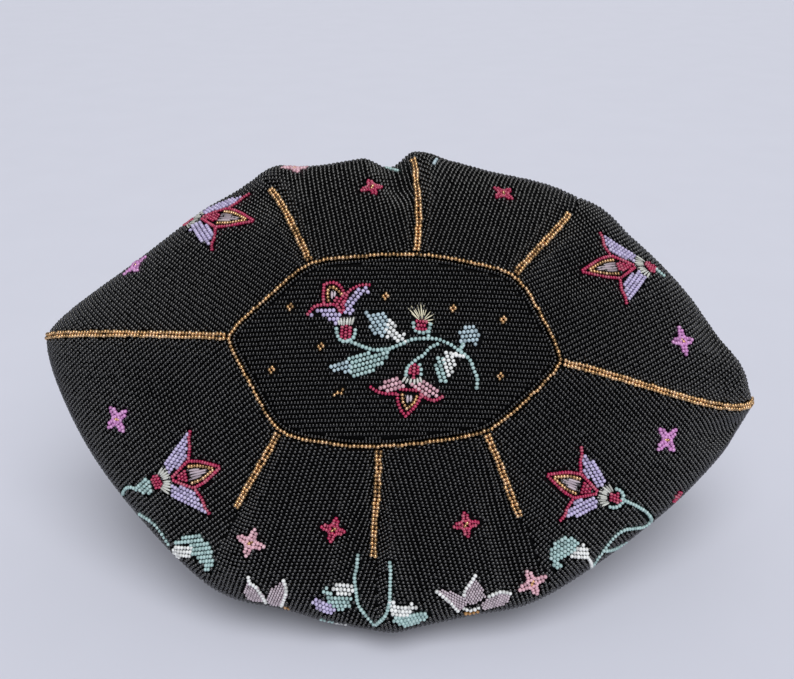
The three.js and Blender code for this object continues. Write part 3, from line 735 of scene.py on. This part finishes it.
# Where each is worked on the pouch: row, run, and its turn clockwise from outward in degrees
WORKED = (
    (1.4, 0.99, 164, tulip(1.42)),
    (6.79, 0.75, -165, (*tulip(1.34, swept=2.5), string("mint", (-0.6, -2.2), (-1.7, -3.2), (-2.6, -4.4)))),
    (14.63, 0.58, -159, tulip(1.1)),
    (9.33, 0.55, 160.5, tulip(1.18, wide=0.88) + CALYX_RING),
    (0.91, 0.87, 65, star("orchid")),
    (15.16, 0.56, 28, star("orchid")),
    (7.38, 0.54, 42, star("orchid")),
    (8.59, 0.505, -13, star("orchid")),
    (3.435, 0.48, 38, star("crimson")),
    (5.25, 0.58, -15, star("crimson")),
    (12.63, 0.33, 54, star("crimson")),
    (10.79, 0.335, 52, star("crimson")),
    (2.53, 0.89, 45, star("pink")),
    (13.69, 0.46, 45, star("pink")),
    (10.14, 0.74, 45, star("pink")),
    (9.05, 0.91, 0, (rows("crimson", 30, (-1.6, -1), (1.2, -1), (1.6, 1), (-1, 1.2)),)),
    (3.72, 0.88, 0, (string("mint", (1.4, -2.4), (0.2, 0.4), (-0.8, 3)),)),
    (4.26, 0.77, 0, (string("sky", (-0.4, -1.6), (0.2, 0.2), (0.8, 1.8)),)),
    (14.17, 0.73, 140, LEFT_EDGE),
    (9.77, 0.63, -150, RIGHT_EDGE),
    (12.03, 0.6, 180, BOTTOM_EDGE),
    (13.31, 0.76, 165, LEFT_LOTUS),
    (10.93, 0.73, -170, RIGHT_LOTUS),
)


def walk(t, s, turn, x, y, paces=10):
    """Rows and runs reached by straight paces over the pouch, x and y being turned from outward."""
    t, s = np.full(len(x), t), np.full(len(x), s)
    along_t, along_s = slopes(outside, t, s)
    up = unit(along_s)
    right = unit(along_t - np.sum(along_t * up, axis=1, keepdims=True) * up)
    c, n = math.cos(math.radians(turn)), math.sin(math.radians(turn))
    way = right * (x * c + y * n)[:, None] + up * (y * c - x * n)[:, None]
    pace = np.hypot(x, y)[:, None] / paces
    for _ in range(paces):
        along_t, along_s = slopes(outside, t, s)
        out = unit(np.cross(along_t, along_s))
        way = way - np.sum(way * out, axis=1, keepdims=True) * out
        go = way / np.maximum(np.linalg.norm(way, axis=1, keepdims=True), 1e-9) * pace
        tt, ts, ss = (np.sum(a * b, axis=1) for a, b in
                      ((along_t, along_t), (along_t, along_s), (along_s, along_s)))
        p, q = np.sum(go * along_t, axis=1), np.sum(go * along_s, axis=1)
        t = t + (p * ss - q * ts) / (tt * ss - ts**2)
        s = np.clip(s + (q * tt - p * ts) / (tt * ss - ts**2), *WALK_WITHIN)
    return t, s


@functools.cache
def worked_beads():
    """The beads of the flowers and leaves, by colour."""
    found = {}

    def keep(strokes, centre, ahead, out):
        start = 0
        for stroke in strokes:
            part = slice(start, start + len(stroke.at))
            start = part.stop
            made = Beads(centre[part] - out[part] * MOTIF_SINK, unit(ahead[part] - centre[part]), out[part],
                         stroke.stretch)
            found[stroke.colour] = found[stroke.colour] + made if stroke.colour in found else made

    def flat(strokes):
        at = np.concatenate([stroke.at for stroke in strokes])
        return at, at + HEADING_STEP * np.concatenate([stroke.heading for stroke in strokes])

    at, ahead = flat(SPRAY)
    centre, out, _ = on_base(*at.T)
    keep(SPRAY, centre, on_base(*ahead.T)[0], out)
    for t, s, turn, strokes in WORKED:
        at, ahead = flat(strokes)
        places = walk(t, s, turn, *at.T)
        keep(strokes, outside(*places), outside(*walk(t, s, turn, *ahead.T)), outward(*places))
    return found


# Making beads with Geometry Nodes


def add(tree, kind, inputs=None, **settings):
    """Adds a node with its settings, and sets or links its inputs by name or number."""
    node = tree.nodes.new(kind)
    for name, value in settings.items():
        setattr(node, name, value)
    for name, value in (inputs or {}).items():
        if isinstance(value, bpy.types.NodeSocket):
            tree.links.new(value, node.inputs[name])
        else:
            node.inputs[name].default_value = value
    return node


@functools.cache
def bead_tree(segments, rings):
    """Sets a smooth round bead on each point, its hole along the thread."""
    tree = bpy.data.node_groups.new(f"seed_beads_{segments}_{rings}", "GeometryNodeTree")
    tree.is_modifier = True
    new = tree.interface.new_socket
    new("Geometry", in_out="INPUT", socket_type="NodeSocketGeometry")
    for name, kind in (
        ("Bead length", "NodeSocketFloat"),
        ("Bead width", "NodeSocketFloat"),
        ("Size spread", "NodeSocketFloat"),
        ("Seed", "NodeSocketInt"),
        ("Finish", "NodeSocketMaterial"),
    ):
        new(name, in_out="INPUT", socket_type=kind)
    new("Geometry", in_out="OUTPUT", socket_type="NodeSocketGeometry")
    given = add(tree, "NodeGroupInput").outputs

    def stored(name, kind):
        node = add(tree, "GeometryNodeInputNamedAttribute", {"Name": name}, data_type=kind)
        return node.outputs["Attribute"]

    def arithmetic(operation, a, b):
        return add(tree, "ShaderNodeMath", {0: a, 1: b}, operation=operation).outputs[0]

    turned = add(tree, "FunctionNodeAxesToRotation",
                 {0: stored("thread", "FLOAT_VECTOR"), 1: stored("out", "FLOAT_VECTOR")},
                 primary_axis="Z", secondary_axis="X")
    length = arithmetic("MULTIPLY", given["Bead length"], stored("stretch", "FLOAT"))
    width, spread = given["Bead width"], given["Size spread"]
    size = add(tree, "ShaderNodeCombineXYZ", {0: width, 1: width, 2: length}).outputs[0]
    least, most = arithmetic("SUBTRACT", 1.0, spread), arithmetic("ADD", 1.0, spread)
    vary = add(tree, "FunctionNodeRandomValue", {2: least, 3: most, "Seed": given["Seed"]},
               data_type="FLOAT")
    scale = add(tree, "ShaderNodeVectorMath", {0: size, "Scale": vary.outputs[1]},
                operation="SCALE").outputs[0]
    ball = add(tree, "GeometryNodeMeshUVSphere",
               {"Segments": segments, "Rings": rings, "Radius": 0.5}).outputs["Mesh"]
    ball = add(tree, "GeometryNodeSetShadeSmooth", {"Geometry": ball}).outputs["Geometry"]
    beads = add(tree, "GeometryNodeInstanceOnPoints",
                {"Points": given["Geometry"], "Instance": ball, "Rotation": turned.outputs[0],
                 "Scale": scale}).outputs["Instances"]
    solid = add(tree, "GeometryNodeRealizeInstances", {"Geometry": beads}).outputs["Geometry"]
    done = add(tree, "GeometryNodeSetMaterial",
               {"Geometry": solid, "Material": given["Finish"]}).outputs["Geometry"]
    add(tree, "NodeGroupOutput", {0: done})
    return tree


def set_inputs(modifier, **values):
    """Sets a modifier's inputs, by each socket's identifier."""
    for item in modifier.node_group.interface.items_tree:
        name = item.name.lower().replace(" ", "_")
        if item.in_out == "INPUT" and name in values:
            modifier[item.identifier] = values[name]


# Segments, rings and girth of a bead: its rings lie inside the ball that it fills
ROUND_BEAD = (8, 4, 1.0)
FINE_BEAD = (6, 3, 1.155)
PLAIN_BEAD = (4, 2, 1.1)
BAKE_CORNERS = np.array([(0.1, 0.1), (0.9, 0.1), (0.9, 0.9), (0.1, 0.9)])


def whole_numbers(items, field):
    """One field of a mesh's items, as an array."""
    values = np.zeros(len(items), np.int32)
    items.foreach_get(field, values)
    return values


def lay_out(mesh):
    """Gives each bead one cell of a map, since its colour is the same all over."""
    bead = whole_numbers(mesh.attributes["bead"].data, "value")
    corner = whole_numbers(mesh.loops, "vertex_index")
    start = whole_numbers(mesh.polygons, "loop_start")
    total = whole_numbers(mesh.polygons, "loop_total")
    number = np.arange(len(mesh.loops)) - np.repeat(start, total)
    side = math.ceil(math.sqrt(bead.max() + 1))
    cell = bead[corner]
    uv = (np.stack([cell % side, cell // side], axis=1) + BAKE_CORNERS[number]) / side
    layer = mesh.uv_layers.new(name="OFBake")
    layer.data.foreach_set("uv", uv.astype(np.float32).ravel())


def string_beads(name, beads, length, width, finish, sizes, shape):
    """Makes a piece of beads, each a small closed ball."""
    count = len(beads.centre)
    if not count:
        raise RuntimeError(f"{name} has no beads")
    mesh = bpy.data.meshes.new(name)
    mesh.from_pydata(beads.centre * MM, [], [])
    tone = np.random.default_rng(SEED + count).random(count)
    for attribute, kind, field, values in (
        ("thread", "FLOAT_VECTOR", "vector", beads.thread.astype(np.float32)),
        ("out", "FLOAT_VECTOR", "vector", beads.out.astype(np.float32)),
        ("stretch", "FLOAT", "value", beads.stretch.astype(np.float32)),
        ("tone", "FLOAT", "value", tone.astype(np.float32)),
        ("bead", "INT", "value", np.arange(count, dtype=np.int32)),
    ):
        mesh.attributes.new(attribute, kind, "POINT").data.foreach_set(field, values.ravel())
    piece = bpy.data.objects.new(name, mesh)
    bpy.context.scene.collection.objects.link(piece)
    segments, rings, girth = shape
    modifier = piece.modifiers.new("beads", "NODES")
    modifier.node_group = bead_tree(segments, rings)
    set_inputs(modifier, bead_length=length, bead_width=width * girth, size_spread=sizes.spread,
               seed=SEED, finish=finish)
    solid = bpy.data.meshes.new_from_object(
        piece.evaluated_get(bpy.context.evaluated_depsgraph_get())
    )
    piece.modifiers.clear()
    solid.name = name
    piece.data = solid
    bpy.data.meshes.remove(mesh)
    lay_out(solid)
    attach(piece, BODY)
    return piece


# Materials


def new_material(name, inputs):
    """A material with one shader, its inputs set by name."""
    material = bpy.data.materials.new(name)
    material.use_nodes = True
    tree = material.node_tree
    tree.nodes.clear()
    shader = add(tree, "ShaderNodeBsdfPrincipled", inputs)
    add(tree, "ShaderNodeOutputMaterial", {"Surface": shader.outputs[0]})
    return material, tree, shader


def mottle(tree, shader, grain, detail, colours, drawn_out=1.0):
    """Colours a shader by noise with a grain in millimetres, drawn out along X, and returns the noise."""
    where = add(tree, "ShaderNodeTexCoord").outputs["Object"]
    where = add(tree, "ShaderNodeMapping", {"Vector": where, "Scale": (1 / drawn_out, 1, 1)}).outputs[0]
    noise = add(tree, "ShaderNodeTexNoise",
                {"Vector": where, "Scale": 1 / (grain * MM), "Detail": detail}).outputs["Fac"]
    ramp = add(tree, "ShaderNodeValToRGB", {"Fac": noise})
    for element, colour in zip(ramp.color_ramp.elements, colours):
        element.color = (*linear(colour), 1)
    tree.links.new(ramp.outputs[0], shader.inputs["Base Color"])
    return noise


@functools.cache
def bead_glass(name, colour, metallic, rough_low, rough_high, ior=1.5, darkest=0.62, palest=0.18):
    """Pressed glass beads: a polished round skin, each bead a little lighter or darker."""
    material, tree, shader = new_material(name, {"Metallic": metallic, "IOR": ior})
    tone = add(tree, "ShaderNodeAttribute", attribute_name="tone").outputs["Fac"]
    ramp = add(tree, "ShaderNodeValToRGB", {"Fac": tone})
    ramp.color_ramp.elements.new(0.5)
    for element, share, white in zip(ramp.color_ramp.elements, (darkest, 1.0, 1.0), (0, 0, palest)):
        element.color = (*(x * share * (1 - white) + white * max(colour) for x in colour), 1)
    tree.links.new(ramp.outputs["Color"], shader.inputs["Base Color"])
    rough = add(tree, "ShaderNodeMapRange", {"Value": tone, "To Min": rough_low, "To Max": rough_high})
    tree.links.new(rough.outputs[0], shader.inputs["Roughness"])
    return material


def jet_glass(colours):
    """Jet glass: near black, with one small clear highlight on each bead."""
    return bead_glass("jet_glass_beads", tuple(colours.jet), 0.0, 0.07, 0.16, ior=1.88)


def gilt_glass(colours):
    """Gilt beads: a warm metal skin that flashes pale where it faces the light."""
    return bead_glass("gilt_beads", tuple(colours.gilt), 0.88, 0.12, 0.3, darkest=0.35)


def flower_glass(colours, colour):
    """Coloured glass of the flowers: opaque and glossy, with a clear highlight."""
    if colour == "gilt":
        return gilt_glass(colours)
    return bead_glass(f"{colour}_glass_beads", tuple(getattr(colours, colour)), 0.0, 0.06, 0.2, ior=1.7)


def knitted_silk():
    """Knitted silk under the beads: dull and dark, with fine loops."""
    material, tree, shader = new_material("knitted_silk", {"Roughness": 0.85, "Specular IOR Level": 0.1})
    loops = mottle(tree, shader, 1.2, 2.0, ("#030304", "#0A0A0C"))
    bump = add(tree, "ShaderNodeBump", {"Height": loops, "Strength": 0.4, "Distance": 0.2 * MM})
    tree.links.new(bump.outputs[0], shader.inputs["Normal"])
    return material


def satin_gilt():
    """Brushed gilt brass of the frame: warm, with fine streaks along the bar."""
    material, tree, shader = new_material("satin_gilt_brass", {"Metallic": 1.0})
    streak = mottle(tree, shader, 0.6, 4.0, ("#8F7238", "#C9A660"), drawn_out=25)
    rough = add(tree, "ShaderNodeMapRange", {"Value": streak, "To Min": 0.25, "To Max": 0.45})
    tree.links.new(rough.outputs[0], shader.inputs["Roughness"])
    return material


def pale_floor():
    """Pale paper: matt and nearly even, with a faint cloud."""
    material, tree, shader = new_material("pale_paper_floor", {"Roughness": 0.8})
    mottle(tree, shader, 40, 3.0, ("#D8DAE7", "#DCDEEB"))
    return material


# Cloth


def shell(name, loops, ring):
    """A closed skin through equal loops of points, as a new object."""
    n = len(loops[0])
    faces = []
    last = len(loops) if ring else len(loops) - 1
    for i in range(last):
        a, b = i * n, (i + 1) % len(loops) * n
        faces += [(a + j, b + j, b + (j + 1) % n, a + (j + 1) % n) for j in range(n)]
    if not ring:
        faces += [tuple(range(n)), tuple((len(loops) - 1) * n + j for j in reversed(range(n)))]
    mesh = bpy.data.meshes.new(name)
    mesh.from_pydata(np.concatenate(loops) * MM, [], faces)
    mesh.validate()
    piece = bpy.data.objects.new(name, mesh)
    bpy.context.scene.collection.objects.link(piece)
    mesh.shade_smooth()
    return piece


CLOTH_TOP = 0.85  # below the bead tops


def both_faces(top, out):
    """A run of cloth: its outer face, then its inner one back again."""
    return np.concatenate([top - out * CLOTH_TOP, (top - out * WALL)[::-1]])


def panel_cloth(name, first, last):
    """Half of the pouch's cloth, between the two side seams."""
    columns, edge = 8, 0.012
    runs = np.concatenate([[0.01], np.linspace(0.05, 2.0, 40), [LIP]])
    rows_across = np.linspace(first + edge, last - edge, (last - first) * columns + 1)
    loops = [both_faces(outside(t, runs), outward(t, runs)) for t in rows_across]
    return shell(name, loops, ring=False)


def base_cloth(name):
    """The oval of cloth under the base's beads."""
    rings = np.linspace(0.02, BASE_SHARE, 12)
    loops = [both_faces(*on_base(u * rings, v * rings)[:2]) for u, v in rim_points(6)]
    return shell(name, loops, ring=True)


# Settings


def measure(name, millimetres, description):
    return bpy.props.FloatProperty(
        name=name, description=description, default=millimetres * MM, unit="LENGTH")


class PurseBeads(bpy.types.PropertyGroup):
    bead_length: measure("Bead length", 0.82, "Length of a black bead along its thread")
    bead_width: measure("Bead width", 1.2, "Diameter of a black bead")
    bead_pitch: measure("Bead pitch", 0.89, "From bead to bead along a row")
    row_pitch: measure("Row pitch", 1.22, "From row to row")
    gold_bead: measure("Gold bead", 1.22, "Diameter of a gold bead")
    gold_pitch: measure("Gold pitch", 1.04, "From bead to bead along a gold row")
    spread: bpy.props.FloatProperty(
        name="Size spread", description="How unlike each other the beads are, as a share",
        default=0.09, subtype="FACTOR")


def tint(name, hex_colour):
    return bpy.props.FloatVectorProperty(
        name=name, description=f"Colour of the {name.lower()} beads", subtype="COLOR", min=0, max=1,
        default=linear(hex_colour))


class PurseColours(bpy.types.PropertyGroup):
    jet: tint("Jet", "#040405")
    gilt: tint("Gilt", "#F3C68F")
    crimson: tint("Crimson", "#BA2E5A")
    lavender: tint("Lavender", "#C4B9E0")
    orchid: tint("Orchid", "#D690D0")
    pink: tint("Pink", "#E2B0BD")
    mint: tint("Mint", "#AFCECD")
    sky: tint("Sky", "#B6CCD6")
    white: tint("White", "#F0F2F1")
    amber: tint("Amber", "#BE8C50")
    lilac: tint("Lilac", "#C6B6C0")
    silver: tint("Silver", "#D2D3CC")
    cream: tint("Cream", "#EAE2C2")


class PurseStage(bpy.types.PropertyGroup):
    camera_place: bpy.props.FloatVectorProperty(
        name="Camera place", description="Where the camera stands",
        default=(-0.0002, -0.2409, 0.1874), subtype="TRANSLATION")
    camera_pitch: bpy.props.FloatProperty(
        name="Camera pitch", description="How far the camera looks down",
        default=math.radians(26.5), subtype="ANGLE")
    lens: bpy.props.FloatProperty(
        name="Lens", description="Focal length on a 36 mm sensor", default=41.5, unit="CAMERA")
    brightness: bpy.props.FloatProperty(
        name="Brightness", description="Strength of the soft light overhead", default=2.15,
        subtype="UNSIGNED")
    window: bpy.props.FloatProperty(
        name="Window", description="Strength of the window behind, seen in the beads", default=0.6,
        subtype="UNSIGNED")
    softness: bpy.props.FloatProperty(
        name="Softness", description="How wide the two lights are",
        default=math.radians(60), subtype="ANGLE")
    room: bpy.props.FloatProperty(
        name="Room", description="Light from the room all round", default=0.42, subtype="FACTOR")


# Operators

# The lamps tip from straight overhead toward the viewer or away, and both to one side, in degrees
OVERHEAD_TILT, WINDOW_TILT, LAMP_LEAN = 32, -48, 8
FLOOR_RADIUS, FLOOR_SIDES = 4, 96  # radius in metres
SENSOR = 36  # in millimetres


class PURSE_OT_cloth(bpy.types.Operator):
    """Makes the cloth of the base and of the two panels"""

    bl_idname = "purse.cloth"
    bl_label = "Cloth"

    def execute(self, context):
        silk = knitted_silk()
        base = base_cloth("base_cloth")
        upper = panel_cloth("upper_cloth", 0, HALF)
        lower = panel_cloth("lower_cloth", HALF, TURN)
        for piece, node in ((base, "base_panel"), (upper, "upper_panel"), (lower, "lower_panel")):
            piece.data.materials.append(silk)
            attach(piece, BODY)
            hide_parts(node)
        return {"FINISHED"}


class PURSE_OT_gold_lines(bpy.types.Operator):
    """Strings the gold beads round the base and along the seams"""

    bl_idname = "purse.gold_lines"
    bl_label = "Gold lines"

    def execute(self, context):
        sizes = context.scene.purse_beads
        gilt = gilt_glass(context.scene.purse_colours)
        for node, beads in gold_lines(sizes).items():
            piece = string_beads(f"{node}_beads", beads, sizes.gold_pitch, sizes.gold_bead, gilt,
                                 sizes, ROUND_BEAD)
            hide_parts(node)
        return {"FINISHED"}


class PURSE_OT_flowers(bpy.types.Operator):
    """Works the flowers, leaves and stems in coloured beads"""

    bl_idname = "purse.flowers"
    bl_label = "Flowers"

    def execute(self, context):
        sizes, colours = context.scene.purse_beads, context.scene.purse_colours
        for colour, beads in worked_beads().items():
            pitch, width = KINDS[colour]
            string_beads(f"{colour}_flower_beads", beads, pitch * FLOWER_FIT * MM, width * MM,
                         flower_glass(colours, colour), sizes, ROUND_BEAD)
        return {"FINISHED"}


class PURSE_OT_black_beads(bpy.types.Operator):
    """Covers the base and the gores in rows of black beads"""

    bl_idname = "purse.black_beads"
    bl_label = "Black beads"

    def execute(self, context):
        sizes = context.scene.purse_beads
        jet = jet_glass(context.scene.purse_colours)
        gold = functools.reduce(Beads.__add__, gold_lines(sizes).values())
        worked = functools.reduce(Beads.__add__, worked_beads().values())
        room = sizes.gold_bead / MM * GOLD_ROOM

        def free(beads):
            return clear_of(beads, gold, room) & clear_of(beads, worked, MOTIF_ROOM)

        def lay(name, beads, shape):
            beads = unevenly(beads, BLACK_UNEVEN, SEED)
            string_beads(name, beads, sizes.bead_length, sizes.bead_width, jet, sizes, shape)

        base = rows_of_base(sizes)
        lay("base_beads", base.only(free(base)), FINE_BEAD)
        before = gold
        for number, gore in enumerate(range(1, TURN, 2), 1):
            beads, s = rows_of_gore(gore, sizes)
            keep = free(beads) & clear_of(beads, before, SEAM_ROOM)
            beads, s = beads.only(keep), s[keep]
            before = beads
            lay(f"gore_{number}_beads", beads.only(s < FINE_TO), FINE_BEAD)
            lay(f"gore_{number}_back_beads", beads.only(s >= FINE_TO), PLAIN_BEAD)
        return {"FINISHED"}


class PURSE_OT_frame(bpy.types.Operator):
    """Finishes the mouth frame"""

    bl_idname = "purse.frame"
    bl_label = "Mouth frame"

    def execute(self, context):
        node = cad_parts["mouth_frame"]
        node.data.materials.clear()
        node.data.materials.append(satin_gilt())
        return {"FINISHED"}


class PURSE_OT_stage(bpy.types.Operator):
    """Sets the floor, the lights and the camera"""

    bl_idname = "purse.stage"
    bl_label = "Stage"

    def execute(self, context):
        scene = context.scene
        stage = scene.purse_stage
        bpy.ops.mesh.primitive_circle_add(vertices=FLOOR_SIDES, radius=FLOOR_RADIUS, fill_type="NGON")
        floor = context.object
        floor.name = "floor"
        floor.data.materials.append(pale_floor())
        lamps = ("overhead", stage.brightness, OVERHEAD_TILT), ("window", stage.window, WINDOW_TILT)
        for name, energy, tilt in lamps:
            sky = bpy.data.lights.new(name, "SUN")
            sky.angle = stage.softness
            sky.energy = energy
            lamp = bpy.data.objects.new(name, sky)
            lamp.rotation_euler = (math.radians(tilt), math.radians(LAMP_LEAN), 0)
            lamp.visible_diffuse = name == "overhead"  # the window shows in beads and metal alone
            scene.collection.objects.link(lamp)
        world = bpy.data.worlds.new("soft_room")
        world.use_nodes = True
        room = world.node_tree.nodes["Background"]
        room.inputs["Color"].default_value = (*linear("#E6E8EC"), 1)
        room.inputs["Strength"].default_value = stage.room
        scene.world = world
        world.cycles_visibility.glossy = False  # it fills the shadows without showing in the beads
        lens = bpy.data.cameras.new("camera")
        lens.lens = stage.lens
        lens.sensor_width = SENSOR
        camera = bpy.data.objects.new("camera", lens)
        camera.location = stage.camera_place
        camera.rotation_euler = (math.pi / 2 - stage.camera_pitch, 0, 0)
        scene.collection.objects.link(camera)
        scene.camera = camera
        scene.view_settings.view_transform = "Standard"
        return {"FINISHED"}


class PURSE_PT_panel(bpy.types.Panel):
    """Lists the purse's makers"""

    bl_label = "Beaded purse"
    bl_space_type = "VIEW_3D"
    bl_region_type = "UI"
    bl_category = "Purse"

    def draw(self, context):
        for maker in MAKERS:
            self.layout.operator(maker.bl_idname)


MAKERS = (PURSE_OT_stage, PURSE_OT_cloth, PURSE_OT_gold_lines, PURSE_OT_flowers, PURSE_OT_black_beads,
          PURSE_OT_frame)
CLASSES = (PurseBeads, PurseColours, PurseStage, *MAKERS, PURSE_PT_panel)


def register():
    for cls in CLASSES:
        bpy.utils.register_class(cls)
    bpy.types.Scene.purse_beads = bpy.props.PointerProperty(type=PurseBeads)
    bpy.types.Scene.purse_colours = bpy.props.PointerProperty(type=PurseColours)
    bpy.types.Scene.purse_stage = bpy.props.PointerProperty(type=PurseStage)


def unregister():
    del bpy.types.Scene.purse_beads
    del bpy.types.Scene.purse_colours
    del bpy.types.Scene.purse_stage
    for cls in reversed(CLASSES):
        bpy.utils.unregister_class(cls)


def main():
    register()
    bpy.ops.purse.stage()
    bpy.ops.purse.cloth()
    bpy.ops.purse.gold_lines()
    bpy.ops.purse.flowers()
    bpy.ops.purse.black_beads()
    bpy.ops.purse.frame()


if __name__ == "__main__":
    main()
